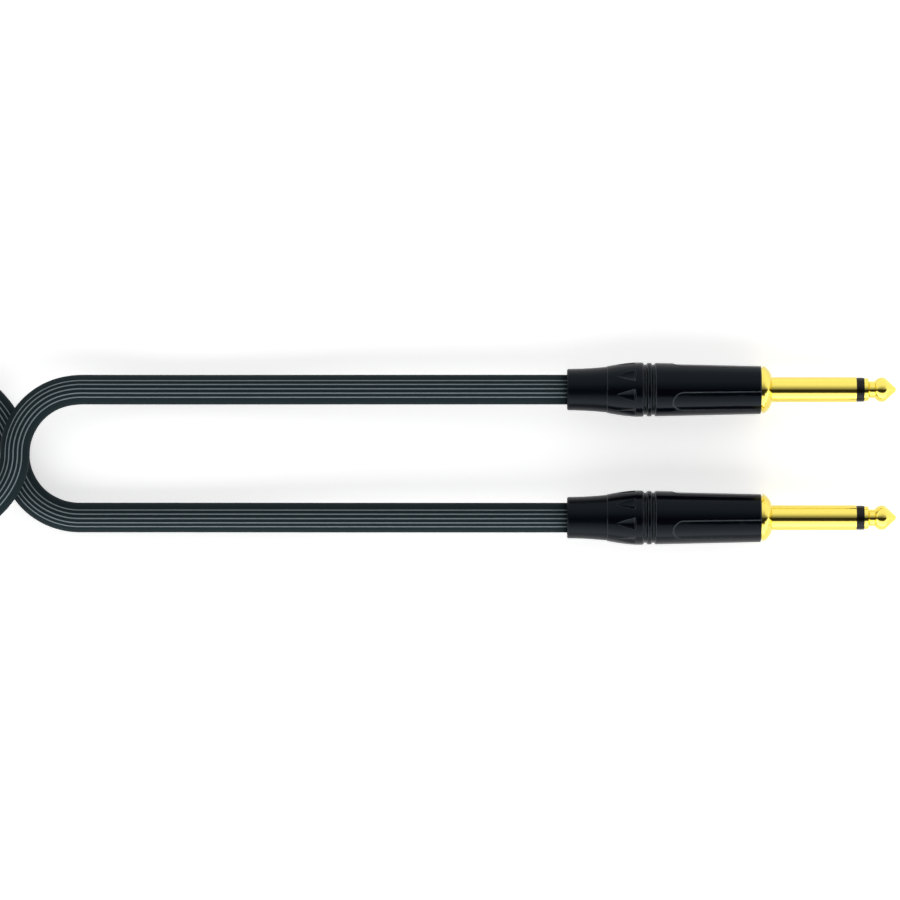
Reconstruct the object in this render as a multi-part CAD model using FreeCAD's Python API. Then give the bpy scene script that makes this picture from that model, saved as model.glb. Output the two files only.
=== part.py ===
import FreeCAD, Part
import math
import os

from FreeCAD import Vector

# An instrument cable: two 6.35 mm jack plugs that lie side by side on the floor, joined by one
# round cable. The cable makes a U-turn, and its spare length is a tied hank beyond the U-turn.
# Frame: X along the plugs, towards their tips. Z is up from the floor. Y goes to the upper plug.

# Clearances
FIT = 0.05  # radial play of pieces that turn or slide on each other
SNUG = 0.02  # play of pieces that are assembled and stay put
SEAT = 0.05  # play between faces that meet end to end

# Contacts: sizes along the axis start at the flange's front
SHAFT_R = 3.175
SHAFT_LENGTH = 21.3
RING_LENGTH = 2.0
RING_SUNK = 0.1  # how much lower the ring's middle lies than the shaft
RING_CROWN = 0.05
STEM_R = 2.1
ROD_R = 1.2
COLLAR_R = 2.9
COLLAR_LENGTH = 0.95
COLLAR_SLOPE = 0.5
NECK_R = 2.12
NECK_LENGTH = 1.2
BALL_R = 3.12
BALL_BACK = 1.9  # from the neck to the ball's widest circle
BALL_ROUND = 1.5
POINT_ROUND = 0.75
TIP_LENGTH = 8.1
FLANGE_R = 5.95
FLANGE_LENGTH = 2.65
FLANGE_NOSE = 1.95
FLANGE_NOSE_R = 3.6
FLANGE_BULGE = 0.3  # of the flange's rounded nose, from a straight cone
FLANGE_RING_LENGTH = 0.35
FLANGE_RING_DEPTH = 0.3
BODY_R = 5.45
BODY_LENGTH = 7.05
SPIGOT_R = 3.6
SPIGOT_LENGTH = 2.5

# Solder terminals behind the contacts
LUG_THICKNESS = 0.5
LUG_PLAY = 0.1  # between the ground lug and the liner
GROUND_STRAP_WIDTH = 3.2
WASHER_END = 1.0
WASHER_SLOPE = 0.8
TIP_LUG_R = 2.6
TIP_STRAP_WIDTH = 2.4
TIP_STRAP_LENGTH = 4.6
STRAP_HOLE_R = 0.6
STRAP_HOLE_AT = 1.3  # from the strap's end
RIVET_R = 1.7
RIVET_LENGTH = 0.45
LINER_WALL = 0.4
LINER_PAST = 0.1  # how far the liner covers the jacket

# Barrel
BARREL_WALL = 0.7  # at the front
BARREL_TAPER = 0.58  # how much the radius grows to the rear
BARREL_LENGTH = 26.9
BARREL_CHAMFER = 0.2  # at the front
BARREL_REAR_CHAMFER = 0.35
THREAD_STEP = 0.5  # from the radius of the contacts' body to that of the nut's thread
THREAD_LENGTH = 4.7
THREAD_RUNOUT = 0.35
GRIPS = 3
GRIP_ANGLE = -30.5  # of the grip recess nearest the top, from straight up towards -Y
GRIP_WIDTH = 5.0
GRIP_DEPTH = 0.24
GRIP_FROM_REAR = 4.8
GRIP_EDGE = 0.18  # chamfer round a recess

# Rear nut
SEAM_LENGTH = 0.4
SEAM_DEPTH = 0.42
BEAD_LENGTH = 1.65  # at its foot
BEAD_SLOPE = 0.42  # length of each sloped side
GROOVE_LENGTH = 0.5  # at its bottom
CREST_RISE = 0.085
CREST_LENGTH = 2.0
CREST_CHAMFER = 0.35
CONE_LENGTH = 7.4
CONE_DROP = 0.965
CONE_BULGE = 0.13
NUT_CHAMFER = 0.15  # at the rear
NUT_WALL = 0.75
CHUCK_CONE_FRONT = 3.75  # from the bead's front back to where the inner cone starts
CHUCK_CONE_LENGTH = 4.3
FLUTES = 8
FLUTE_ANGLE = -13.0
FLUTE_WIDTH = 3.1
FLUTE_LENGTH = 5.0
FLUTE_DEPTH = 0.55
FLUTE_START = 0.15  # from the crest to the notch's wide end
FLUTE_END = 0.4  # from the wide end of a notch to its deepest place
FLUTE_LEAD = 0.35  # from the tip of the cutter's cone to the notch's point

# Cable chuck
CHUCK_PLAY = 0.1
CHUCK_TAIL_WALL = 0.8
CHUCK_LENGTH = 12.0
CHUCK_SLOT = 0.8
CHUCK_RING = 3.0

# Boot
BOOT_WALL = 0.83  # at the neck
BOOT_FLANGE_HEIGHT = 0.55
BOOT_FLANGE_LENGTH = 1.2
BOOT_STEP = 0.15  # how much lower than the nut the boot starts
BOOT_TAPER = 0.525
BOOT_HOLLOW = 0.13
BOOT_LENGTH = 9.95
BOOT_NECK_LENGTH = 1.85
BOOT_PLAY = 0.12
BOOT_ROUND = 0.25

# Cable
CORD_R = 3.75
JACKET_WALL = 1.15
JACKET_SHOWS = 1.8  # from the chuck's front to the cut of the jacket
CONDUCTOR_R = 0.5
CONDUCTOR_GAP = 1.95  # from the end of the core's insulation to the tip lug's strap
CONDUCTOR_LAP = 2.8
PIGTAIL_R = 0.7
PIGTAIL_GAP = 2.55  # from the jacket's cut to the ground lug's strap
PIGTAIL_LAP = 4.5
CORE_SUNK = 8.0

# Lay
PLUG_SPACING = 32.25
HUMP = 8.0  # how much higher the cable lies where it crosses over itself

# Hank
LAYERS = 4
GAP = 0.55
FOLD_R = 22.5
FOLD_DISTANCE = 102.0
FOLD_X = -230.8  # centres of the folds nearest the plugs
WAIST = 9.0  # from the hank's middle line to the cable at the waist
SIDE_STEP = 9.2
TIE_WIDTH = 15.0
TIE_THICKNESS = 1.5
TIE_PLAY = 0.7
TIE_OVERLAP = 24.0

# Places along a plug
X_RING = SHAFT_LENGTH
X_TIP = X_RING + RING_LENGTH
X_END = X_TIP + TIP_LENGTH
X_FLANGE = -FLANGE_LENGTH
X_TERMINALS = X_FLANGE - BODY_LENGTH
X_SPIGOT = X_TERMINALS - SPIGOT_LENGTH
X_WASHER = X_SPIGOT - WASHER_END
X_RIVET = X_WASHER - LUG_THICKNESS
X_TIP_STRAP = X_RIVET - TIP_STRAP_LENGTH
X_CORE = X_TIP_STRAP - CONDUCTOR_GAP
X_BARREL = X_FLANGE - SEAT
X_BARREL_REAR = X_BARREL - BARREL_LENGTH
X_BEAD = X_BARREL_REAR - SEAM_LENGTH
X_GROOVE = X_BEAD - BEAD_LENGTH
X_CREST = X_GROOVE - GROOVE_LENGTH
X_CONE = X_CREST - CREST_LENGTH
X_NUT_REAR = X_CONE - CONE_LENGTH
X_THREAD = X_BARREL_REAR + THREAD_LENGTH
X_CHUCK_CONE = X_BEAD - CHUCK_CONE_FRONT
X_CHUCK_CONE_END = X_CHUCK_CONE - CHUCK_CONE_LENGTH
X_CHUCK = X_CHUCK_CONE_END + CHUCK_LENGTH
X_JACKET = X_CHUCK + JACKET_SHOWS
X_GROUND_STRAP = X_JACKET + PIGTAIL_GAP
X_BOOT_NECK = X_NUT_REAR + BOOT_NECK_LENGTH
X_BOOT_FLANGE = X_BOOT_NECK + BOOT_FLANGE_LENGTH
X_BOOT_REAR = X_NUT_REAR - BOOT_LENGTH

# Radii that follow from their neighbours
BORE_R = BODY_R + FIT
THREAD_R = BODY_R + THREAD_STEP
BARREL_FRONT_R = BORE_R + BARREL_WALL
BARREL_REAR_R = BARREL_FRONT_R + BARREL_TAPER
BEAD_R = BARREL_REAR_R
CREST_R = BARREL_REAR_R + CREST_RISE
NUT_REAR_R = CREST_R - CONE_DROP
BOOT_FRONT_R = NUT_REAR_R - BOOT_STEP
BOOT_REAR_R = BOOT_FRONT_R - BOOT_TAPER
BOOT_BORE_R = CORD_R + BOOT_PLAY
BOOT_NECK_R = BOOT_BORE_R + BOOT_WALL
BOOT_FLANGE_R = BOOT_NECK_R + BOOT_FLANGE_HEIGHT
CHUCK_TAIL_R = CORD_R + CHUCK_TAIL_WALL
NUT_BORE_R = THREAD_R - NUT_WALL
CORE_R = CORD_R - JACKET_WALL
LINER_R = BORE_R - FIT
GROUND_LUG_R = LINER_R - LINER_WALL - LUG_PLAY
GROUND_STRAP_Z = -math.sqrt(GROUND_LUG_R**2 - (GROUND_STRAP_WIDTH / 2) ** 2)
GROUND_STRAP_TOP = GROUND_STRAP_Z + LUG_THICKNESS

# Places of the whole
FLANGE_X = -(X_END + X_BOOT_REAR) / 2
AXIS_Z = CREST_R
RUN_Y = PLUG_SPACING / 2
BOOT_X = FLANGE_X + X_BOOT_REAR
CORD = 2 * CORD_R
LAYER_STEP = CORD + GAP
OVER_Z = CORD_R + HUMP


def turned(*outline):
    """A solid turned about the X axis. A point is (x, r), and an arc is (through x, r, to x, r)."""
    start = Vector(outline[0][0], 0, outline[0][1])
    at = start
    edges = []
    for step in outline[1:]:
        to = Vector(step[-2], 0, step[-1])
        if len(step) == 4:
            edges.append(Part.Arc(at, Vector(step[0], 0, step[1]), to).toShape())
        else:
            edges.append(Part.LineSegment(at, to).toShape())
        at = to
    edges.append(Part.LineSegment(at, start).toShape())
    face = Part.Face(Part.Wire(edges))
    return face.revolve(Vector(0, 0, 0), Vector(1, 0, 0), 360)


def rod(x_from, x_to, radius, hole=0.0):
    """A round rod or tube along the X axis."""
    return turned((x_from, hole), (x_from, radius), (x_to, radius), (x_to, hole))


def about_axis(shape, degrees):
    return shape.rotated(Vector(0, 0, 0), Vector(1, 0, 0), degrees)


def box(x_from, x_to, width, z_from, z_to):
    corner = Vector(x_from, -width / 2, z_from)
    return Part.makeBox(x_to - x_from, width, z_to - z_from, corner)


def rounded_path(points):
    """Straight runs joined by tangent arcs, each as large as its two runs allow."""
    edges = []
    radii = []
    at = points[0]
    for before, corner, after in zip(points, points[1:], points[2:]):
        to_before = (before - corner).normalize()
        to_after = (after - corner).normalize()
        half_turn = (math.pi - to_before.getAngle(to_after)) / 2
        reach = 0.45 * min((before - corner).Length, (after - corner).Length)
        radius = reach / math.tan(half_turn)
        radii.append(radius)
        inward = (to_before + to_after).normalize()
        middle = corner + inward * (radius / math.cos(half_turn) - radius)
        start = corner + to_before * reach
        end = corner + to_after * reach
        edges.append(Part.LineSegment(at, start).toShape())
        edges.append(Part.Arc(start, middle, end).toShape())
        at = end
    edges.append(Part.LineSegment(at, points[-1]).toShape())
    return Part.Wire(edges), radii


def tube(path, direction, radius):
    """A round tube along a path that starts in the given direction."""
    start = path.OrderedVertexes[0].Point
    section = Part.Wire(Part.makeCircle(radius, start, direction))
    return path.makePipeShell([section], True, False)


def report_tube(name, shape, path, radius):
    share = shape.Volume / (math.pi * radius**2 * path.Length)
    print(f"{name}: {path.Length:.1f} mm, volume / (section x length) {share:.4f}, valid {shape.isValid()}")


def routed_tube(name, points, radius):
    points = [Vector(*p) for p in points]
    path, radii = rounded_path(points)
    shape = tube(path, points[1] - points[0], radius)
    print(name, "arc radii", [round(r, 1) for r in radii])
    report_tube(name, shape, path, radius)
    return shape, path.Length


def rise(x_from, r_from, x_top, r_top):
    """The arc of an outline that ends level at its top."""
    lean = math.atan2(r_top - r_from, x_top - x_from)
    radius = (r_top - r_from) / (2 * math.sin(lean) ** 2)
    return (x_top - radius * math.sin(lean), r_top - radius * (1 - math.cos(lean)), x_top, r_top)


def round_nose(x_top, r_top, top_round, x_end, end_round):
    """An outline from its widest place down to its end on the axis: a round, a cone and a round."""
    x_other = x_end - end_round
    r_middle = r_top - top_round
    apart = math.hypot(x_other - x_top, r_middle)
    lean = math.acos((top_round - end_round) / apart) - math.atan2(r_middle, x_other - x_top)
    upper = (lean + math.pi / 2) / 2
    lower = lean / 2
    return [
        (
            x_top + top_round * math.cos(upper),
            r_middle + top_round * math.sin(upper),
            x_top + top_round * math.cos(lean),
            r_middle + top_round * math.sin(lean),
        ),
        (x_other + end_round * math.cos(lean), end_round * math.sin(lean)),
        (x_other + end_round * math.cos(lower), end_round * math.sin(lower), x_end, 0),
    ]


def tip_contact():
    """Tip, neck and collar on a centre rod, riveted over behind the tip lug."""
    x_neck = X_TIP + COLLAR_LENGTH + COLLAR_SLOPE
    x_ball = x_neck + NECK_LENGTH + BALL_BACK
    return turned(
        (X_RIVET - RIVET_LENGTH, 0),
        (X_RIVET - RIVET_LENGTH, RIVET_R - RIVET_LENGTH),
        (X_RIVET - RIVET_LENGTH / 2, RIVET_R),
        (X_RIVET, RIVET_R),
        (X_RIVET, ROD_R),
        (X_TIP, ROD_R),
        (X_TIP, COLLAR_R),
        (X_TIP + COLLAR_LENGTH, COLLAR_R),
        (x_neck, NECK_R),
        (x_neck + NECK_LENGTH, NECK_R),
        rise(x_neck + NECK_LENGTH, NECK_R, x_ball, BALL_R),
        *round_nose(x_ball, BALL_R, BALL_ROUND, X_END, POINT_ROUND),
    )


def tip_insulator():
    """The crowned ring between tip and sleeve, with the long stem that lines the shaft."""
    top = SHAFT_R - RING_SUNK
    edge = top - RING_CROWN
    return turned(
        (X_SPIGOT, ROD_R + SNUG),
        (X_SPIGOT, STEM_R),
        (X_RING, STEM_R),
        (X_RING, edge),
        ((X_RING + X_TIP) / 2, top, X_TIP, edge),
        (X_TIP, ROD_R + SNUG),
    )


def sleeve_contact():
    """Shaft, flange and the threaded body inside the barrel, with a spigot for the ground lug."""
    x_nose = -FLANGE_NOSE
    slope = math.atan2(FLANGE_R - FLANGE_NOSE_R, FLANGE_NOSE)
    middle = (
        x_nose / 2 + FLANGE_BULGE * math.sin(slope),
        (FLANGE_R + FLANGE_NOSE_R) / 2 + FLANGE_BULGE * math.cos(slope),
    )
    waist = FLANGE_R - FLANGE_RING_DEPTH
    bore = STEM_R + SNUG
    return turned(
        (X_SPIGOT, bore),
        (X_SPIGOT, SPIGOT_R),
        (X_TERMINALS, SPIGOT_R),
        (X_TERMINALS, BODY_R),
        (X_FLANGE, BODY_R),
        (X_FLANGE, waist),
        (X_FLANGE + FLANGE_RING_LENGTH, waist),
        (X_FLANGE + FLANGE_RING_LENGTH, FLANGE_R),
        (x_nose, FLANGE_R),
        (*middle, 0, FLANGE_NOSE_R),
        (0, SHAFT_R),
        (SHAFT_LENGTH, SHAFT_R),
        (SHAFT_LENGTH, bore),
    )


def ground_lug():
    """A ring on the contact's spigot, with a strap that runs back along the bottom of the liner."""
    ring = rod(X_TERMINALS - LUG_THICKNESS, X_TERMINALS, GROUND_LUG_R, SPIGOT_R + SNUG)
    strap = box(X_GROUND_STRAP, X_TERMINALS, GROUND_STRAP_WIDTH, GROUND_STRAP_Z, GROUND_STRAP_TOP)
    hole_x = X_GROUND_STRAP + STRAP_HOLE_AT
    hole = Part.makeCylinder(STRAP_HOLE_R, GROUND_LUG_R, Vector(hole_x, 0, -GROUND_LUG_R))
    return ring.fuse(strap).cut(hole).removeSplitter()


def rear_insulator():
    """The cup that keeps the tip lug off the spigot and the ground lug."""
    front = X_TERMINALS - LUG_THICKNESS
    radius = -GROUND_STRAP_TOP - FIT
    return turned(
        (X_WASHER, ROD_R + SNUG),
        (X_WASHER, radius - WASHER_SLOPE),
        (X_SPIGOT, radius),
        (front, radius),
        (front, SPIGOT_R + SNUG),
        (X_SPIGOT, SPIGOT_R + SNUG),
        (X_SPIGOT, ROD_R + SNUG),
    )


def tip_lug():
    """A ring under the rivet, with a strap that the centre conductor is soldered to."""
    ring = rod(X_RIVET, X_WASHER, TIP_LUG_R, ROD_R + SNUG)
    strap = box(X_TIP_STRAP, X_WASHER, TIP_STRAP_WIDTH, TIP_LUG_R - LUG_THICKNESS, TIP_LUG_R)
    hole = Part.makeCylinder(STRAP_HOLE_R, TIP_LUG_R, Vector(X_TIP_STRAP + STRAP_HOLE_AT, 0, 0))
    return ring.fuse(strap).cut(hole).removeSplitter()


def liner():
    """The thin sleeve that keeps the terminals off the barrel."""
    return rod(X_JACKET - LINER_PAST, X_TERMINALS - SEAT, LINER_R, LINER_R - LINER_WALL)


def barrel_r(x):
    """The barrel's outer radius."""
    return BARREL_FRONT_R + BARREL_TAPER * (X_BARREL - x) / BARREL_LENGTH


def grip_recess():
    """One long shallow recess: a round end towards the nut, open at the barrel's front."""
    half = GRIP_WIDTH / 2
    x_end = X_BARREL_REAR + GRIP_FROM_REAR
    x_round = x_end + half
    height = 2 * BARREL_REAR_R
    plan = box(x_round, X_BARREL + half, GRIP_WIDTH, 0, height)
    plan = plan.fuse(Part.makeCylinder(half, height, Vector(x_round, 0, 0)))
    inner = turned(
        (x_end - half, 0),
        (x_end - half, barrel_r(x_end - half) - GRIP_DEPTH),
        (X_BARREL + height, barrel_r(X_BARREL + height) - GRIP_DEPTH),
        (X_BARREL + height, 0),
    )
    return plan.cut(inner)


def grip_rims(shell):
    """The edges where the recesses leave the barrel's outside, without those of its ends."""
    rims = []
    for edge in shell.Edges:
        middle = edge.valueAt((edge.FirstParameter + edge.LastParameter) / 2)
        outside = math.hypot(middle.y, middle.z) > barrel_r(middle.x) - GRIP_DEPTH / 4
        if outside and X_BARREL_REAR + GRIP_FROM_REAR / 2 < middle.x < X_BARREL - GRIP_WIDTH / 2:
            rims.append(edge)
    return rims


def barrel():
    """The metal housing: a plain bore that screws on the contacts, and a wider one for the nut."""
    thread = THREAD_R + FIT
    shell = turned(
        (X_BARREL_REAR, thread),
        (X_BARREL_REAR, BARREL_REAR_R - BARREL_REAR_CHAMFER),
        (X_BARREL_REAR + BARREL_REAR_CHAMFER, barrel_r(X_BARREL_REAR + BARREL_REAR_CHAMFER)),
        (X_BARREL - BARREL_CHAMFER, barrel_r(X_BARREL - BARREL_CHAMFER)),
        (X_BARREL, BARREL_FRONT_R - BARREL_CHAMFER),
        (X_BARREL, BORE_R),
        (X_THREAD + THREAD_RUNOUT, BORE_R),
        (X_THREAD + THREAD_RUNOUT, thread),
    )
    for k in range(GRIPS):
        shell = shell.cut(about_axis(grip_recess(), -GRIP_ANGLE + k * 360 / GRIPS))
    return shell.makeChamfer(GRIP_EDGE, grip_rims(shell))


def flute():
    """One notch of the nut's cone: a conical scoop from its point to a sloped end wall."""
    half = FLUTE_WIDTH / 2
    along = FLUTE_LENGTH / CONE_LENGTH
    z_wide = math.sqrt(CREST_R**2 - half**2)
    z_point = CREST_R - CONE_DROP * along + 4 * CONE_BULGE * along * (1 - along)
    x_wide = X_CONE - FLUTE_START
    point = Vector(X_CONE - FLUTE_LENGTH, 0, z_point)
    deepest = Vector(x_wide - FLUTE_END, 0, CREST_R - FLUTE_DEPTH)
    floor = deepest - point
    tip = point - Vector(floor).normalize() * FLUTE_LEAD
    sag = z_wide - deepest.z
    opening = math.atan((half**2 + sag**2) / (2 * sag) / (deepest - tip).Length)
    lean = opening + math.atan2(floor.z, floor.x)
    height = 2 * FLUTE_LENGTH
    along_cone = Vector(math.cos(lean), 0, math.sin(lean))
    scoop = Part.makeCone(0, height * math.tan(opening), height, tip, along_cone)
    wall = (Vector(x_wide, 0, CREST_R) - deepest).normalize() * height
    aside = Vector(0, height, 0)
    back = Vector(height, 0, 0)
    corners = [deepest - wall, deepest + wall, deepest + wall - back, deepest - wall - back]
    outline = Part.makePolygon([corner - aside for corner in corners + corners[:1]])
    return scoop.common(Part.Face(outline).extrude(aside * 2))


def nut():
    """The rear nut: threaded spigot, bead and groove, fluted cone, and the seat of the boot's flange."""
    waist = BEAD_R - SEAM_DEPTH
    x_edge = X_NUT_REAR + NUT_CHAMFER
    shell = turned(
        (X_THREAD, NUT_BORE_R),
        (X_THREAD, THREAD_R),
        (X_BARREL_REAR - SEAT, THREAD_R),
        (X_BARREL_REAR - SEAT, waist),
        (X_BEAD, waist),
        (X_BEAD - BEAD_SLOPE, BEAD_R),
        (X_GROOVE + BEAD_SLOPE, BEAD_R),
        (X_GROOVE, waist),
        (X_CREST, waist),
        (X_CREST, CREST_R - CREST_CHAMFER),
        (X_CREST - CREST_CHAMFER, CREST_R),
        (X_CONE, CREST_R),
        (X_CONE - CONE_LENGTH / 2, (CREST_R + NUT_REAR_R) / 2 + CONE_BULGE, x_edge, NUT_REAR_R),
        (X_NUT_REAR, NUT_REAR_R - NUT_CHAMFER),
        (X_NUT_REAR, BOOT_NECK_R + FIT),
        (X_BOOT_NECK, BOOT_NECK_R + FIT),
        (X_BOOT_NECK, BOOT_FLANGE_R + FIT),
        (X_BOOT_FLANGE + SEAT, BOOT_FLANGE_R + FIT),
        (X_BOOT_FLANGE + SEAT, CHUCK_TAIL_R + CHUCK_PLAY),
        (X_CHUCK_CONE_END, CHUCK_TAIL_R + CHUCK_PLAY),
        (X_CHUCK_CONE, NUT_BORE_R),
    )
    for k in range(FLUTES):
        shell = shell.cut(about_axis(flute(), -FLUTE_ANGLE + k * 360 / FLUTES))
    return shell


def chuck():
    """The slotted collet that the nut's inner cone closes on the jacket."""
    radius = NUT_BORE_R - CHUCK_PLAY
    sleeve = turned(
        (X_CHUCK_CONE_END, CORD_R + SNUG),
        (X_CHUCK_CONE_END, CHUCK_TAIL_R),
        (X_CHUCK_CONE, radius),
        (X_CHUCK, radius),
        (X_CHUCK, CORD_R + SNUG),
    )
    slot = box(X_CHUCK_CONE_END - SEAT, X_CHUCK - CHUCK_RING, CHUCK_SLOT, -CORD, CORD)
    return sleeve.cut(slot).cut(about_axis(slot, 90))


def boot():
    """The soft boot: a flange held in the nut, a neck, and a waisted tail round the cable."""
    front = X_NUT_REAR - SEAT
    middle = ((front + X_BOOT_REAR) / 2, (BOOT_FRONT_R + BOOT_REAR_R) / 2 - BOOT_HOLLOW)
    return turned(
        (X_BOOT_REAR, BOOT_BORE_R),
        (X_BOOT_REAR, BOOT_REAR_R - BOOT_ROUND),
        (X_BOOT_REAR + BOOT_ROUND, BOOT_REAR_R),
        (*middle, front, BOOT_FRONT_R),
        (front, BOOT_NECK_R),
        (X_BOOT_NECK + SEAT, BOOT_NECK_R),
        (X_BOOT_NECK + SEAT, BOOT_FLANGE_R),
        (X_BOOT_FLANGE, BOOT_FLANGE_R),
        (X_BOOT_FLANGE, BOOT_BORE_R),
    )


def jacket_end():
    """The jacket from the boot's tail to its cut inside the barrel."""
    x_core = X_JACKET - CORE_SUNK
    return turned(
        (X_BOOT_REAR, 0),
        (X_BOOT_REAR, CORD_R),
        (X_JACKET, CORD_R),
        (X_JACKET, CORE_R + SNUG),
        (x_core, CORE_R + SNUG),
        (x_core, 0),
    )


def core_insulation():
    """The insulation of the centre conductor, bared of its jacket and shield."""
    return rod(X_JACKET - CORE_SUNK, X_CORE, CORE_R, CONDUCTOR_R + SNUG)


def conductor():
    """The centre conductor, bent up under the tip lug's strap."""
    z_lug = TIP_LUG_R - LUG_THICKNESS - CONDUCTOR_R - SNUG
    points = [
        (X_JACKET, 0, 0),
        (X_CORE + CONDUCTOR_GAP / 3, 0, 0),
        (X_TIP_STRAP, 0, z_lug),
        (X_TIP_STRAP + CONDUCTOR_LAP, 0, z_lug),
    ]
    path, _ = rounded_path([Vector(*p) for p in points])
    return tube(path, Vector(1, 0, 0), CONDUCTOR_R)


def shield_pigtail():
    """The shield, twisted into a pigtail that lies on the ground lug's strap."""
    z_core = -(CORE_R + PIGTAIL_R + SNUG)
    z_strap = GROUND_STRAP_TOP + PIGTAIL_R + SNUG
    points = [
        (X_JACKET, 0, z_core),
        (X_JACKET + PIGTAIL_GAP / 2, 0, z_core),
        (X_GROUND_STRAP + PIGTAIL_R, 0, z_strap),
        (X_GROUND_STRAP + PIGTAIL_LAP, 0, z_strap),
    ]
    path, _ = rounded_path([Vector(*p) for p in points])
    return tube(path, Vector(1, 0, 0), PIGTAIL_R)


PLUG_PIECES = {
    "tip_contact": tip_contact,
    "tip_insulator": tip_insulator,
    "sleeve_contact": sleeve_contact,
    "ground_lug": ground_lug,
    "rear_insulator": rear_insulator,
    "tip_lug": tip_lug,
    "liner": liner,
    "barrel": barrel,
    "nut": nut,
    "chuck": chuck,
    "boot": boot,
    "jacket_end": jacket_end,
    "core_insulation": core_insulation,
    "conductor": conductor,
    "shield_pigtail": shield_pigtail,
}

# The free cable from plug a: down to the floor, the first half of the U-turn, over the other
# stretch, down again and into the hank's lowest layer.
HANK_IN_X = FOLD_X + CORD
ROUTE_A = [
    (BOOT_X, RUN_Y, AXIS_Z),
    (-87.9, RUN_Y, AXIS_Z),
    (-134.5, RUN_Y, CORD_R),
    (-158.0, RUN_Y, 5.6),
    (-168.4, RUN_Y, 8.0),
    (-175.9, 11.8, 10.4),
    (-180.2, 4.3, OVER_Z),
    (-180.2, -4.3, OVER_Z),
    (-185.2, -12.3, 10.4),
    (-194.6, -18.9, 6.9),
    (-211.4, -FOLD_R, CORD_R),
    (HANK_IN_X, -FOLD_R, CORD_R),
]

# The free cable to plug b, all on the floor: from the hank, the other half of the U-turn, the plug.
ROUTE_B = [
    (HANK_IN_X, FOLD_R + SIDE_STEP, CORD_R),
    (-215.8, FOLD_R + SIDE_STEP, CORD_R),
    (-205.0, 27.3, CORD_R),
    (-194.2, 19.5, CORD_R),
    (-185.4, 12.3, CORD_R),
    (-180.8, 4.3, CORD_R),
    (-180.8, -4.3, CORD_R),
    (-176.4, -11.9, CORD_R),
    (-168.7, -RUN_Y, CORD_R),
    (-134.5, -RUN_Y, CORD_R),
    (-87.9, -RUN_Y, AXIS_Z),
    (BOOT_X, -RUN_Y, AXIS_Z),
]


def arc_between(start, corner, end):
    """The arc that is tangent at both ends to the lines through the corner."""
    middle = (start + end) / 2
    half = (end - start).Length / 2
    outward = corner - middle
    if outward.Length < 1e-6 * half:
        return Part.LineSegment(start, end).toShape()
    turn = math.atan2(outward.Length, half)
    through = middle + outward.normalize() * (half * math.tan(turn / 2))
    return Part.Arc(start, through, end).toShape()


def biarc(start, leaving, end, arriving):
    """Two arcs that join two points with given directions."""
    span = end - start
    both = leaving + arriving
    bend = 1 - leaving.dot(arriving)
    ahead = span.dot(both)
    if bend < 1e-9:
        reach = span.dot(span) / (2 * ahead)
    else:
        reach = (math.sqrt(ahead**2 + 2 * bend * span.dot(span)) - ahead) / (2 * bend)
    first = start + leaving * reach
    second = end - arriving * reach
    joint = (first + second) / 2
    return [arc_between(start, first, joint), arc_between(joint, second, end)]


def hank_stations():
    """Places and directions of the hank's cable: down one side, round a fold, up the other side.

    The layers lie on each other. Each run towards the plugs climbs one layer, and the last comes
    down beside the pile, to the floor. At the waist all runs are drawn in and lifted by the tie under them.
    """
    away = Vector(-1, 0, 0)
    back = Vector(1, 0, 0)
    far_x = FOLD_X - FOLD_DISTANCE
    waist_x = (FOLD_X + far_x) / 2
    lift = TIE_THICKNESS + TIE_PLAY
    stations = []
    for layer in range(LAYERS):
        z = CORD_R + layer * LAYER_STEP
        last = layer == LAYERS - 1
        side = SIDE_STEP if last else 0.0
        next_z = CORD_R if last else z + LAYER_STEP
        climb = Vector(FOLD_DISTANCE, 0, next_z - z).normalize()
        stations.append((Vector(FOLD_X, -FOLD_R, z), away))
        stations.append((Vector(waist_x, -WAIST, z + lift), away))
        stations.append((Vector(far_x, -FOLD_R, z), away))
        stations.append((Vector(far_x, FOLD_R + side, z), back))
        stations.append((Vector(waist_x, WAIST + side, (z + next_z) / 2 + lift), climb))
        stations.append((Vector(FOLD_X, FOLD_R + side, next_z), back))
    return stations


def least_gap(path, radius):
    """The least gap of a tube to itself, between places more than a few diameters apart."""
    step = radius / 2
    points = path.discretize(Number=int(path.Length / step))
    skip = int(8 * radius / step)
    least = min(a.distanceToPoint(b) for i, a in enumerate(points) for b in points[i + skip :])
    return least - 2 * radius


def hank():
    """The put-away length as one tube, from where it takes the cable of plug a to that of plug b."""
    stations = hank_stations()
    begin = Vector(HANK_IN_X, -FOLD_R, CORD_R)
    finish = Vector(HANK_IN_X, FOLD_R + SIDE_STEP, CORD_R)
    edges = [Part.LineSegment(begin, stations[0][0]).toShape()]
    for (start, leaving), (end, arriving) in zip(stations, stations[1:]):
        edges += biarc(start, leaving, end, arriving)
    edges.append(Part.LineSegment(stations[-1][0], finish).toShape())
    path = Part.Wire(edges)
    shape = tube(path, Vector(-1, 0, 0), CORD_R)
    report_tube("hank", shape, path, CORD_R)
    print(f"hank: least gap to itself {least_gap(path, CORD_R):.2f} mm")
    return shape, path.Length


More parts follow.
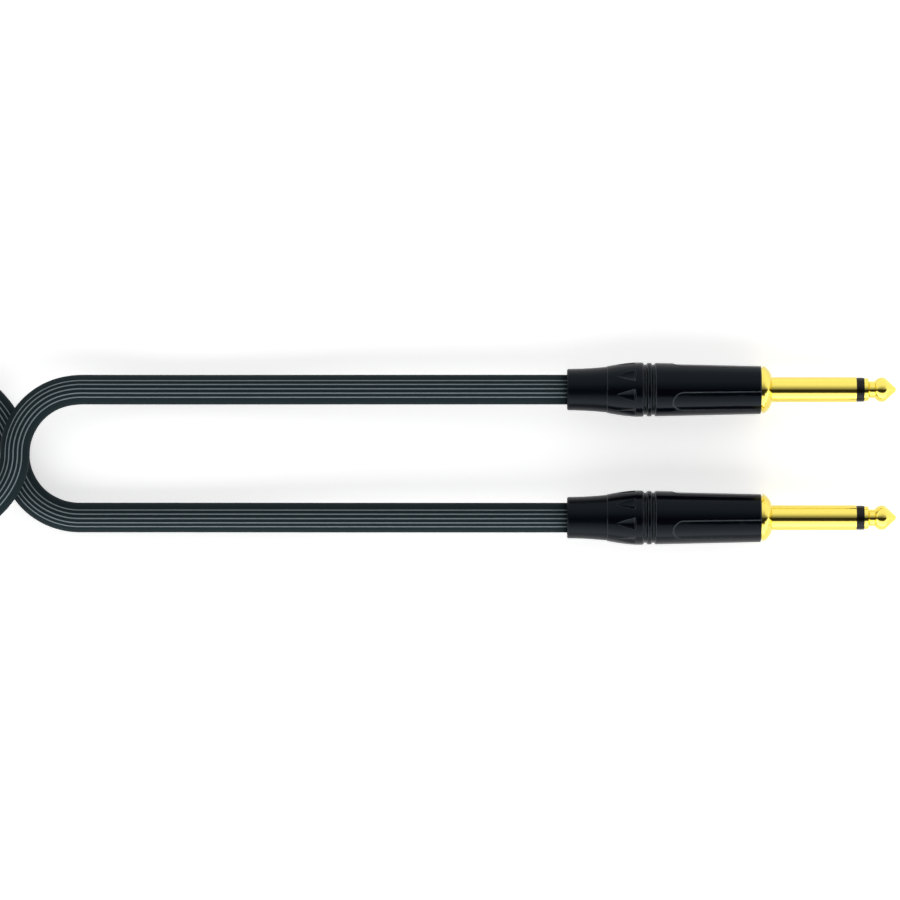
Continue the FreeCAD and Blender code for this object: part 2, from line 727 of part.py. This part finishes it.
def tie():
    """The hook-and-loop strap round the hank's waist, its free end lapped over the top."""
    waist_x = FOLD_X - FOLD_DISTANCE / 2
    lift = TIE_THICKNESS + TIE_PLAY
    low = CORD_R + lift
    high = low + (LAYERS - 1) * LAYER_STEP
    beside_low = low + LAYER_STEP / 2
    beside_high = high - LAYER_STEP / 2
    side_z = (low + high) / 2
    climb = LAYER_STEP / FOLD_DISTANCE * TIE_WIDTH / 2
    drop = (LAYERS - 1) * climb
    outline = [
        (-WAIST, low),
        (-WAIST, high),
        (WAIST, beside_high + climb),
        (WAIST + SIDE_STEP, side_z + drop),
        (WAIST + SIDE_STEP, side_z - drop),
        (WAIST, beside_low - climb),
    ]
    x = waist_x - TIE_WIDTH / 2
    corners = [Vector(x, y, z) for y, z in outline]
    hull = Part.Wire(Part.makePolygon(corners + corners[:1]))

    def grown(by):
        return Part.Face(hull.makeOffset2D(by)).extrude(Vector(TIE_WIDTH, 0, 0))

    inner = CORD_R + TIE_PLAY
    band = grown(inner + TIE_THICKNESS).cut(grown(inner))
    lap = grown(inner + 2 * TIE_THICKNESS).cut(grown(inner + TIE_THICKNESS))
    top = Part.makeBox(TIE_WIDTH, TIE_OVERLAP, CORD, Vector(x, -WAIST, high))
    return band.fuse(lap.common(top)).removeSplitter()


def place(shape, side):
    return shape.translated(Vector(FLANGE_X, side * RUN_Y, AXIS_Z))


def main():
    os.makedirs("parts", exist_ok=True)
    for name, make in PLUG_PIECES.items():
        piece = make()
        for letter, side in (("a", 1), ("b", -1)):
            place(piece, side).exportStep(f"parts/{name}_{letter}.step")
        print(name, round(piece.Volume, 1), piece.isValid(), len(piece.Solids))
    cord_a, length_a = routed_tube("cord_a", ROUTE_A, CORD_R)
    cord_b, length_b = routed_tube("cord_b", ROUTE_B, CORD_R)
    coils, length_hank = hank()
    in_plugs = 2 * (X_JACKET - X_BOOT_REAR)
    print(f"cable: {length_a + length_b + length_hank + in_plugs:.0f} mm")
    cord_a.exportStep("parts/cord_a.step")
    cord_b.exportStep("parts/cord_b.step")
    coils.exportStep("parts/hank.step")
    tie().exportStep("parts/tie.step")


main()
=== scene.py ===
import math

import bmesh
import bpy
from mathutils import Matrix, Vector


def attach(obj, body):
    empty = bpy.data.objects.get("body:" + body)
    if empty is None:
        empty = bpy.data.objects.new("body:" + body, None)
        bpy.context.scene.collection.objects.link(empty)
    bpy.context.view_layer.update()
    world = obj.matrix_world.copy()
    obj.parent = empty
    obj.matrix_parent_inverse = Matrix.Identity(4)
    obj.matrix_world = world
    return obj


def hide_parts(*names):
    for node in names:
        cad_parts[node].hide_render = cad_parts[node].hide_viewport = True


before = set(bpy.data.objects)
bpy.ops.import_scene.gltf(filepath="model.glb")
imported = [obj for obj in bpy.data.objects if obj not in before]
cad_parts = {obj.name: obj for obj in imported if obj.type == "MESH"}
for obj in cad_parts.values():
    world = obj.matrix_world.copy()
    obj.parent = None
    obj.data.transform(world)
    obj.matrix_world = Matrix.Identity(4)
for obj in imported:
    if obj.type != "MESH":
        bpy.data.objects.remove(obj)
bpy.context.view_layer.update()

# The two plugs and the cable, in metres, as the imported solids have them
MM = 0.001
SIDES = {"a": 1, "b": -1}  # the side of Y that each plug lies on
CORD_R = 3.75 * MM
RUN_Y = 16.125 * MM  # from the middle to each plug's axis
AXIS_Z = 6.865 * MM
BOOT_X = -41.45 * MM  # where the cable leaves the boots
JACKET_CUT_X = -14.2 * MM  # where the jacket ends, inside the plugs

# The hank and the tie round its waist
LAYERS = 4
GAP = 0.55 * MM
LAYER_STEP = 2 * CORD_R + GAP
FOLD_R = 22.5 * MM
FOLD_X = -230.8 * MM  # the middle of the folds nearest the plugs
FOLD_DISTANCE = 102.0 * MM
FOLD_POINTS = 5  # control points round each fold
HANK_IN_X = FOLD_X + 2 * CORD_R
WAIST = 9.0 * MM  # from the hank's middle line to the cable at the waist
WAIST_REACH = 13.8 * MM  # how far from folds and waist the control points between them stand
SIDE_STEP = 9.2 * MM  # how far outside the others the last run comes down
TIE_WIDTH = 15.0 * MM
TIE_THICKNESS = 1.5 * MM
TIE_PLAY = 0.7 * MM
TIE_LIFT = TIE_THICKNESS + TIE_PLAY
TIE_EDGE = 0.25 * MM
TIE_EDGE_STEPS = 2
CORNER_STEPS = 10  # round each corner of the tie

# The route from plug a to the hank, over the other stretch, and from the hank to plug b, in metres
OVER_Z = 11.75 * MM
CLEAR_Z = 6.97 * MM  # keeps the cable clear of a boot that slides back along it
ROUTE_A = [
    (BOOT_X, RUN_Y, AXIS_Z),
    (-0.0879, RUN_Y, CLEAR_Z),
    (-0.1345, RUN_Y, CORD_R),
    (-0.1580, RUN_Y, 0.0056),
    (-0.1684, RUN_Y, 0.0080),
    (-0.1759, 0.0118, 0.0104),
    (-0.1802, 0.0043, OVER_Z),
    (-0.1802, -0.0043, OVER_Z),
    (-0.1852, -0.0123, 0.0104),
    (-0.1946, -0.0189, 0.0069),
    (-0.2114, -FOLD_R, CORD_R),
    (HANK_IN_X, -FOLD_R, CORD_R),
]
ROUTE_B = [
    (HANK_IN_X, FOLD_R + SIDE_STEP, CORD_R),
    (-0.2158, FOLD_R + SIDE_STEP, CORD_R),
    (-0.2050, 0.0273, CORD_R),
    (-0.1942, 0.0195, CORD_R),
    (-0.1854, 0.0123, CORD_R),
    (-0.1808, 0.0043, CORD_R),
    (-0.1808, -0.0043, CORD_R),
    (-0.1764, -0.0119, CORD_R),
    (-0.1687, -RUN_Y, CORD_R),
    (-0.1597, -RUN_Y, CORD_R),
    (-0.1345, -RUN_Y, CORD_R),
    (-0.0879, -RUN_Y, CLEAR_Z),
    (BOOT_X, -RUN_Y, AXIS_Z),
]
ROUTE_STEPS = 10  # points of the smooth line for each control point

# Painted highlights along the top of the jacket: fine ribs in a lighter colour, by angle from the jacket's
# top
LINE_COUNT = 5
LINE_STEP = math.radians(17.0)
LINE_HALF = math.radians(2.4)
LINE_HEIGHT = 0.06 * MM
LINE_ROLL = math.radians(3.0)  # the lines sit a little to the right, seen along the route
SECTION_STEPS = 44  # round the rest of the jacket

# Fine detail of the materials
NOISE_DETAIL = 4.0
ROUGHNESS_SPREAD = 0.15
WAVE_UNIT = 20.0  # radians that a wave texture of scale 1 goes through in a metre
FUZZ_SCALE = 4000

# Painted highlight on the black pieces' edges, convex and concave: they turn lighter by how far the rounded
# normal leaves the surface's own
EDGE_HIGHLIGHT_COLOUR = (0.075, 0.083, 0.088)
EDGE_HIGHLIGHT_STARTS = math.radians(8.0)
EDGE_HIGHLIGHT_IS_FULL = math.radians(24.0)

# The photograph's frame
FRAME_WIDTH = 226.7 * MM
VIEW_X = -70.93 * MM
VIEW_Y = 0.92 * MM
CAMERA_HEIGHT = 1.6
CLIP_END = 10.0
SENSOR = 36.0  # in millimetres, as Blender has it

# The studio: a pale floor under a plain dome, as levels by degrees from straight up, towards +Y
FLOOR_HALF = 3.0
FLOOR_COLOUR = (0.92, 0.92, 0.92)
FLOOR_ROUGHNESS = 0.9
FLOOR_GLOW = 0.5  # what the floor shows above the light that falls on it
SKY = [
    (-90, 3.2),
    (-70, 2.8),
    (-40, 1.5),
    (-33, 1.3),
    (-30, 0.03),
    (0, 0.03),
    (6, 0.2),
    (16, 0.55),
    (32, 1.0),
    (45, 1.2),
    (90, 1.25),
]


# Materials

def material(name, colour, roughness, **inputs):
    """A principled material, its nodes, and its shader, ready for detail."""
    made = bpy.data.materials.new(name)
    made.use_nodes = True
    shader = made.node_tree.nodes["Principled BSDF"]
    shader.inputs["Base Color"].default_value = (*colour, 1.0)
    shader.inputs["Roughness"].default_value = roughness
    for key, value in inputs.items():
        shader.inputs[key.replace("_", " ")].default_value = value
    return made, made.node_tree, shader


def object_noise(tree, scale, stretch=(1, 1, 1)):
    """Noise in the object's own space, its features about 1/scale metres large."""
    where = tree.nodes.new("ShaderNodeTexCoord")
    mapping = tree.nodes.new("ShaderNodeMapping")
    mapping.inputs["Scale"].default_value = stretch
    noise = tree.nodes.new("ShaderNodeTexNoise")
    noise.inputs["Scale"].default_value = scale
    noise.inputs["Detail"].default_value = NOISE_DETAIL
    tree.links.new(where.outputs["Object"], mapping.inputs["Vector"])
    tree.links.new(mapping.outputs["Vector"], noise.inputs["Vector"])
    return noise.outputs["Fac"]


def calculate(tree, operation, one, other):
    """The result of a calculation with two values."""
    node = tree.nodes.new("ShaderNodeMath")
    node.operation = operation
    tree.links.new(one, node.inputs[0])
    tree.links.new(other, node.inputs[1])
    return node.outputs["Value"]


def map_range(tree, value, old=(0.0, 1.0), new=(0.0, 1.0)):
    """The value, brought from the old range to the new one."""
    node = tree.nodes.new("ShaderNodeMapRange")
    for side, (low, high) in (("From", old), ("To", new)):
        node.inputs[f"{side} Min"].default_value = low
        node.inputs[f"{side} Max"].default_value = high
    tree.links.new(value, node.inputs["Value"])
    return node.outputs["Result"]


def lighten(tree, shader, share, light):
    """Turn the shader's colour by the share into a light one, and return the socket for the other."""
    mix = tree.nodes.new("ShaderNodeMix")
    mix.data_type = "RGBA"
    mix.inputs["B"].default_value = (*light, 1.0)
    tree.links.new(share, mix.inputs["Factor"])
    tree.links.new(mix.outputs["Result"], shader.inputs["Base Color"])
    return mix.inputs["A"]


def add_bump(tree, shader, value, relief):
    bump = tree.nodes.new("ShaderNodeBump")
    bump.inputs["Distance"].default_value = relief
    tree.links.new(value, bump.inputs["Height"])
    tree.links.new(bump.outputs["Normal"], shader.inputs["Normal"])
    return bump


def round_edges_and_paint_highlight(tree, shader, bump, radius):
    """Light the edges as if they were rounded, and paint a lighter shade on them as a painted highlight."""
    bevel = tree.nodes.new("ShaderNodeBevel")
    bevel.inputs["Radius"].default_value = radius
    tree.links.new(bevel.outputs["Normal"], bump.inputs["Normal"])
    surface = tree.nodes.new("ShaderNodeNewGeometry")
    likeness = tree.nodes.new("ShaderNodeVectorMath")
    likeness.operation = "DOT_PRODUCT"
    tree.links.new(bevel.outputs["Normal"], likeness.inputs[0])
    tree.links.new(surface.outputs["Normal"], likeness.inputs[1])
    # Painted highlight: edges and inner corners alike turn to a lighter colour
    painted_highlight = map_range(tree, likeness.outputs["Value"], old=(math.cos(EDGE_HIGHLIGHT_STARTS), math.cos(EDGE_HIGHLIGHT_IS_FULL)))
    unhighlighted = shader.inputs["Base Color"].links[0].from_socket
    tree.links.new(unhighlighted, lighten(tree, shader, painted_highlight, EDGE_HIGHLIGHT_COLOUR))


def speckled(name, colour, roughness, grain, relief, contrast=0.15, stretch=(1, 1, 1), edge=0.0, **inputs):
    """A material with a fine grain, about 1/grain metres large, in its colour, roughness and surface."""
    made, tree, shader = material(name, colour, roughness, **inputs)
    noise = object_noise(tree, grain, stretch)
    dark = [c * (1 - contrast) for c in colour]
    light = [c * (1 + contrast) for c in colour]
    lighten(tree, shader, noise, light).default_value = (*dark, 1.0)
    levels = (roughness * (1 - ROUGHNESS_SPREAD), roughness * (1 + ROUGHNESS_SPREAD))
    tree.links.new(map_range(tree, noise, new=levels), shader.inputs["Roughness"])
    bump = add_bump(tree, shader, noise, relief)
    # edge: rounded shading at the edges and a painted highlight along them
    if edge:
        round_edges_and_paint_highlight(tree, shader, bump, edge)
    return made


def woven(name, dark, light, roughness, thread, relief):
    """Webbing with fuzzy threads that run round the hank, side by side along X."""
    made, tree, shader = material(name, dark, roughness)
    where = tree.nodes.new("ShaderNodeTexCoord")
    threads = tree.nodes.new("ShaderNodeTexWave")
    threads.inputs["Scale"].default_value = 2 * math.pi / (WAVE_UNIT * thread)
    tree.links.new(where.outputs["Object"], threads.inputs["Vector"])
    fuzz = calculate(tree, "MULTIPLY", threads.outputs["Fac"], object_noise(tree, FUZZ_SCALE))
    lighten(tree, shader, fuzz, light).default_value = (*dark, 1.0)
    add_bump(tree, shader, fuzz, relief)
    return made


BLACK = (0.001, 0.0015, 0.003)
BLACK_SHEEN = {"Specular_IOR_Level": 0.13, "Specular_Tint": (0.7, 0.85, 1.0, 1.0)}

GOLD = speckled(
    "gold_plate", (0.83, 0.68, 0.135), roughness=0.12, grain=900, relief=2e-6,
    contrast=0.04, stretch=(6, 1, 1), Metallic=1.0,
)
RING_BLACK = speckled(
    "ring_black", (0.003, 0.0033, 0.002), roughness=0.2, grain=1500, relief=2e-6, Specular_IOR_Level=0.2
)
TINNED = speckled("tinned", (0.72, 0.71, 0.68), roughness=0.3, grain=700, relief=5e-6, Metallic=1.0)
LINER = speckled("liner", (0.6, 0.62, 0.6), roughness=0.35, grain=500, relief=3e-6)
# The barrel and the nut carry a painted highlight along their edges
LACQUER = speckled(
    "barrel_lacquer", BLACK, roughness=0.13, grain=2500, relief=1e-6, edge=0.28 * MM, **BLACK_SHEEN
)
NUT_BLACK = speckled(
    "nut_black", BLACK, roughness=0.18, grain=2500, relief=2e-6, edge=0.2 * MM, **BLACK_SHEEN
)
CHUCK_GREY = speckled("chuck_grey", (0.35, 0.36, 0.37), roughness=0.5, grain=1500, relief=4e-6)
BOOT_BLACK = speckled("boot_rubber", BLACK, roughness=0.3, grain=3000, relief=4e-6, **BLACK_SHEEN)
JACKET = speckled(
    "jacket", (0.0115, 0.0205, 0.024), roughness=0.6, grain=3000, relief=4e-6, Specular_IOR_Level=0.03
)
# Painted highlight: the ribs on the jacket's top are coloured lighter than the jacket
JACKET_HIGHLIGHT_LINE = speckled(
    "jacket_painted_highlight", (0.17, 0.205, 0.225), roughness=0.5, grain=3000, relief=3e-6, Specular_IOR_Level=0.1
)
CORE_WHITE = speckled("core_white", (0.8, 0.8, 0.76), roughness=0.4, grain=900, relief=3e-6)
COPPER = speckled(
    "copper", (0.85, 0.45, 0.27), roughness=0.3, grain=3000, relief=3e-5, stretch=(0.3, 2, 2), Metallic=1.0
)
WEBBING = woven(
    "webbing", (0.006, 0.006, 0.007), (0.035, 0.035, 0.04), roughness=0.85, thread=1.0 * MM, relief=0.3 * MM
)

CAD_FINISH = {
    "tip_contact": GOLD,
    "tip_insulator": RING_BLACK,
    "sleeve_contact": GOLD,
    "ground_lug": TINNED,
    "rear_insulator": RING_BLACK,
    "tip_lug": TINNED,
    "liner": LINER,
    "barrel": LACQUER,
    "nut": NUT_BLACK,
    "chuck": CHUCK_GREY,
    "boot": BOOT_BLACK,
    "core_insulation": CORE_WHITE,
    "conductor": COPPER,
    "shield_pigtail": COPPER,
}


def dress(obj, *finishes):
    for finish in finishes:
        obj.data.materials.append(finish)


def dress_cad_nodes():
    for letter in SIDES:
        for name, finish in CAD_FINISH.items():
            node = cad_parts[f"{name}_{letter}"]
            node.data.materials.clear()
            dress(node, finish)


# Meshes

def new_object(name, data):
    obj = bpy.data.objects.new(name, data)
    bpy.context.scene.collection.objects.link(obj)
    return obj


def mesh_object(name, bm):
    """A new object with the mesh that was built in bm."""
    mesh = bpy.data.meshes.new(name)
    bm.to_mesh(mesh)
    bm.free()
    return new_object(name, mesh)


def skin(name, rings, endless=False, smooth=False, marked=()):
    """A mesh over a row of rings, endless or closed at both ends, its marked strips in slot 1."""
    bm = bmesh.new()
    rows = [[bm.verts.new(corner) for corner in ring] for ring in rings]
    pairs = list(zip(rows, rows[1:]))
    if endless:
        pairs.append((rows[-1], rows[0]))
    for one, other in pairs:
        for k in range(len(one)):
            after = (k + 1) % len(one)
            face = bm.faces.new((one[k], one[after], other[after], other[k]))
            face.smooth = smooth
            face.material_index = int(k in marked)
    if not endless:
        bm.faces.new(rows[0])
        bm.faces.new(rows[-1])
    bmesh.ops.recalc_face_normals(bm, faces=bm.faces[:])
    return mesh_object(name, bm)


# The cable

def jacket_section():
    """The jacket's section as (angle from the top, radius), and the strips that take the painted highlight
    colour.
    """
    middle = (LINE_COUNT - 1) / 2
    lines = [(k - middle) * LINE_STEP for k in range(LINE_COUNT)]
    points = []
    strips = set()
    for line in lines:
        strips |= {len(points), len(points) + 1}
        points += [(line - LINE_HALF, 0.0), (line, LINE_HEIGHT), (line + LINE_HALF, 0.0)]
    last = lines[-1] + LINE_HALF
    rest = 2 * math.pi - (last - (lines[0] - LINE_HALF))
    points += [(last + rest * k / SECTION_STEPS, 0.0) for k in range(1, SECTION_STEPS)]
    return [(angle + LINE_ROLL, CORD_R + height) for angle, height in points], strips


def sweep(name, path, section, marked):
    """A smooth mesh along a path, with the section kept upright."""
    rings = []
    for i, at in enumerate(path):
        ahead = path[min(i + 1, len(path) - 1)] - path[max(i - 1, 0)]
        right = ahead.cross(Vector((0, 0, 1))).normalized()
        up = right.cross(ahead).normalized()
        rings.append([at + (right * math.sin(a) + up * math.cos(a)) * r for a, r in section])
    return skin(name, rings, smooth=True, marked=marked)


def fold_points(x, y, z, radius, start_angle):
    """Control points round a half circle, clockwise seen from above."""
    # They stand outside the circle that their spline follows
    reach = radius / math.cos(math.pi / FOLD_POINTS / 2)
    angles = [start_angle - math.pi * (k + 0.5) / FOLD_POINTS for k in range(FOLD_POINTS)]
    return [(x + reach * math.cos(a), y + reach * math.sin(a), z) for a in angles]


def hank_points():
    """Control points of the hank: away from the plugs, round a fold and back, layer on layer.

    Each run back climbs one layer, but the last comes down beside the pile, to the floor.
    """
    far_x = FOLD_X - FOLD_DISTANCE
    waist_x = (FOLD_X + far_x) / 2
    points = []
    for layer in range(LAYERS):
        z = CORD_R + layer * LAYER_STEP
        last = layer == LAYERS - 1
        side = SIDE_STEP if last else 0.0
        next_z = CORD_R if last else z + LAYER_STEP
        rise = (next_z - z) / FOLD_DISTANCE * WAIST_REACH
        middle_z = (z + next_z) / 2 + TIE_LIFT
        points += [
            (FOLD_X - WAIST_REACH, -FOLD_R, z),
            (waist_x + WAIST_REACH, -WAIST, z + TIE_LIFT),
            (waist_x - WAIST_REACH, -WAIST, z + TIE_LIFT),
            (far_x + WAIST_REACH, -FOLD_R, z),
        ]
        points += fold_points(far_x, side / 2, z, FOLD_R + side / 2, -math.pi / 2)
        points += [
            (far_x + WAIST_REACH, FOLD_R + side, z),
            (waist_x - WAIST_REACH, WAIST + side, middle_z - rise),
            (waist_x + WAIST_REACH, WAIST + side, middle_z + rise),
            (FOLD_X - WAIST_REACH, FOLD_R + side, next_z),
        ]
        if not last:
            points += fold_points(FOLD_X, 0.0, next_z, FOLD_R, math.pi / 2)
    return points


def smooth_line(points):
    """Points along the NURBS spline that has the given control points."""
    curve = bpy.data.curves.new("route", "CURVE")
    curve.dimensions = "3D"
    spline = curve.splines.new("NURBS")
    spline.points.add(len(points) - 1)
    for place, at in zip(spline.points, points):
        place.co = (*at, 1.0)
    spline.order_u = 3
    spline.use_endpoint_u = True
    curve.resolution_u = ROUTE_STEPS
    carrier = new_object("route", curve)
    bpy.context.view_layer.update()
    mesh = bpy.data.meshes.new_from_object(carrier)
    line = [v.co.copy() for v in mesh.vertices]
    bpy.data.objects.remove(carrier)
    bpy.data.curves.remove(curve)
    bpy.data.meshes.remove(mesh)
    return line


def jacket_piece(name, path, *solids):
    """A stretch of the cable along a path, in place of the given solids."""
    piece = sweep(name, path, *jacket_section())
    # The marked strips, on the ribs, take the painted highlight colour
    dress(piece, JACKET, JACKET_HIGHLIGHT_LINE)
    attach(piece, "cable")
    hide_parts(*solids)
    return piece


def make_cable(tie):
    """The cable from boot to boot, and its two ends inside the plugs."""
    path = smooth_line(ROUTE_A + hank_points() + ROUTE_B)
    cable = jacket_piece("cable", path, "cord_a", "cord_b", "hank")
    for letter, side in SIDES.items():
        # In the route's direction, which leaves plug a and comes to plug b
        ends = [Vector((x, side * RUN_Y, AXIS_Z)) for x in (BOOT_X, JACKET_CUT_X)]
        jacket_piece(f"jacket_tail_{letter}", ends[:: -side], f"jacket_end_{letter}")


# The tie

def tie_outline(offset):
    """Points (y, z) round the hank's waist, at an offset from the cable's centres."""
    low = CORD_R + TIE_LIFT
    high = low + (LAYERS - 1) * LAYER_STEP
    middle = (low + high) / 2
    # How far a run climbs, and the last one drops, within half the strap's width
    climb = LAYER_STEP / FOLD_DISTANCE * TIE_WIDTH / 2
    drop = (LAYERS - 1) * climb
    places = [
        (-WAIST, high),
        (WAIST, high - LAYER_STEP / 2 + climb),
        (WAIST + SIDE_STEP, middle + drop),
        (WAIST + SIDE_STEP, middle - drop),
        (WAIST, low + LAYER_STEP / 2 - climb),
        (-WAIST, low),
    ]
    corners = [Vector(place) for place in places]
    points = []
    for i, corner in enumerate(corners):
        before = corner - corners[i - 1]
        after = corners[(i + 1) % len(corners)] - corner
        turn = before.angle_signed(after)
        outward = Vector((-before.y, before.x)).normalized()
        for k in range(CORNER_STEPS + 1):
            angle = -turn * k / CORNER_STEPS
            points.append(corner + Matrix.Rotation(angle, 2) @ outward * offset)
    return points


def strap(name, inner, outer, endless):
    """A flat strap between two outlines, as a solid of the tie's width, its edges rounded."""
    x = FOLD_X - FOLD_DISTANCE / 2
    half = TIE_WIDTH / 2
    rings = []
    for a, b in zip(inner, outer):
        corners = ((a, -half), (b, -half), (b, half), (a, half))
        rings.append([(x + along, at.x, at.y) for at, along in corners])
    piece = skin(name, rings, endless)
    bevel = piece.modifiers.new("edge", "BEVEL")
    bevel.width = TIE_EDGE
    bevel.segments = TIE_EDGE_STEPS
    bevel.limit_method = "ANGLE"
    return piece


def make_tie():
    """The band round the waist, and the strap's free end, lapped over the top."""
    inside = CORD_R + TIE_PLAY
    inner, middle, outer = [tie_outline(inside + k * TIE_THICKNESS) for k in range(3)]
    band = strap("tie_band", inner, middle, endless=True)
    # From the end of the first corner to the end of the second
    over_top = slice(CORNER_STEPS, 2 * CORNER_STEPS + 2)
    lap = strap("tie_lap", middle[over_top], outer[over_top], endless=False)
    for piece in (band, lap):
        dress(piece, WEBBING)
        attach(piece, "cable")
        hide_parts("tie")
    return [band, lap]


# The studio

def shown_directly(tree):
    """1 for the rays that show a surface: from the camera, off a mirror or through glass."""
    rays = tree.nodes.new("ShaderNodeLightPath").outputs
    mirrored = calculate(tree, "MAXIMUM", rays["Is Camera Ray"], rays["Is Glossy Ray"])
    return calculate(tree, "MAXIMUM", mirrored, rays["Is Transmission Ray"])


def make_floor():
    bm = bmesh.new()
    bmesh.ops.create_grid(bm, x_segments=1, y_segments=1, size=FLOOR_HALF)
    floor = mesh_object("floor", bm)
    made, tree, shader = material(
        "floor_white", FLOOR_COLOUR, FLOOR_ROUGHNESS, Specular_IOR_Level=0.0, Emission_Color=(1, 1, 1, 1)
    )
    glow = map_range(tree, shown_directly(tree), new=(0.0, FLOOR_GLOW))
    tree.links.new(glow, shader.inputs["Emission Strength"])
    dress(floor, made)


def make_sky():
    """A bright dome with one dark stripe along X, near straight up."""
    world = bpy.data.worlds.new("studio")
    bpy.context.scene.world = world
    world.use_nodes = True
    tree = world.node_tree
    where = tree.nodes.new("ShaderNodeTexCoord")
    axes = tree.nodes.new("ShaderNodeSeparateXYZ")
    tree.links.new(where.outputs["Generated"], axes.inputs["Vector"])
    tilt = calculate(tree, "ARCTAN2", axes.outputs["Y"], axes.outputs["Z"])
    ramp = tree.nodes.new("ShaderNodeValToRGB")
    stops = ramp.color_ramp.elements
    while len(stops) < len(SKY):
        stops.new(1.0)
    for stop, (degrees, level) in zip(stops, SKY):
        stop.position = 0.5 + degrees / 180
        stop.color = (level, level, level, 1.0)
    tree.links.new(map_range(tree, tilt, old=(-math.pi / 2, math.pi / 2)), ramp.inputs["Fac"])
    tree.links.new(ramp.outputs["Color"], tree.nodes["Background"].inputs["Color"])


def make_camera():
    lens = bpy.data.cameras.new("camera")
    lens.type = "PERSP"
    lens.sensor_width = SENSOR
    lens.lens = SENSOR * (CAMERA_HEIGHT - AXIS_Z) / FRAME_WIDTH
    lens.clip_end = CLIP_END
    camera = new_object("camera", lens)
    camera.location = (VIEW_X, VIEW_Y, CAMERA_HEIGHT)
    bpy.context.scene.camera = camera


bpy.context.scene.view_settings.view_transform = "Standard"
make_floor()
make_sky()
make_camera()
make_cable(make_tie())
dress_cad_nodes()
